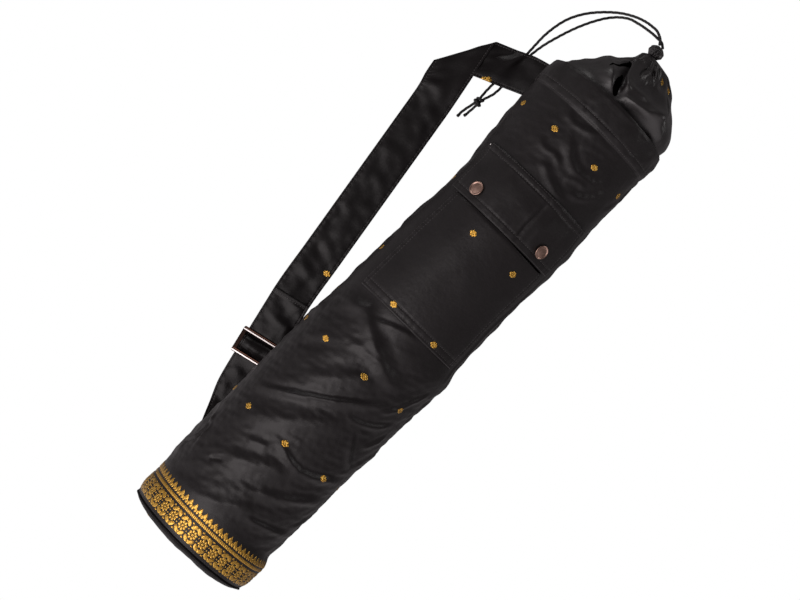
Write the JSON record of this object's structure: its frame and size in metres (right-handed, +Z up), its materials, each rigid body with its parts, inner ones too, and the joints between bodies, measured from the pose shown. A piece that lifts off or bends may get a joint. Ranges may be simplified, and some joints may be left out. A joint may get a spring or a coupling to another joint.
{
  "type": "yoga mat bag",
  "caption": "Satin yoga mat bag with a drawstring mouth, snapped pocket, woven gold border and a flat shoulder strap with a slider, lying on its back.",
  "frame": {"origin": "on the surface the bag rests on, below the middle of the body tube's axis", "axes": "+X along the bag from the round base to the drawn mouth, +Y towards the strap, +Z up"},
  "size_m": [0.7793, 0.2654, 0.1538],
  "materials": {
    "satin": "black satin with woven gold",
    "strap_satin": "black satin",
    "braid": "braided cord",
    "snap_metal": "antique nickel",
    "slider_metal": "polished gunmetal"
  },
  "bodies": {
    "root": {"body_tube": "satin", "base_disc": "satin", "mouth_cuff": "satin", "drawstring_collar": "satin", "drawstring_channel": "satin", "pocket_panel": "satin", "pocket_flap": "satin", "snap_strap_side": "snap_metal", "snap_far_side": "snap_metal", "strap_upper": "strap_satin", "strap_lower": "strap_satin", "strap_slider": "slider_metal", "cord_outer": "braid", "cord_inner": "braid", "tail_outer": "braid", "tail_inner": "braid", "cord_knot": "braid"}
  },
  "joints": []
}
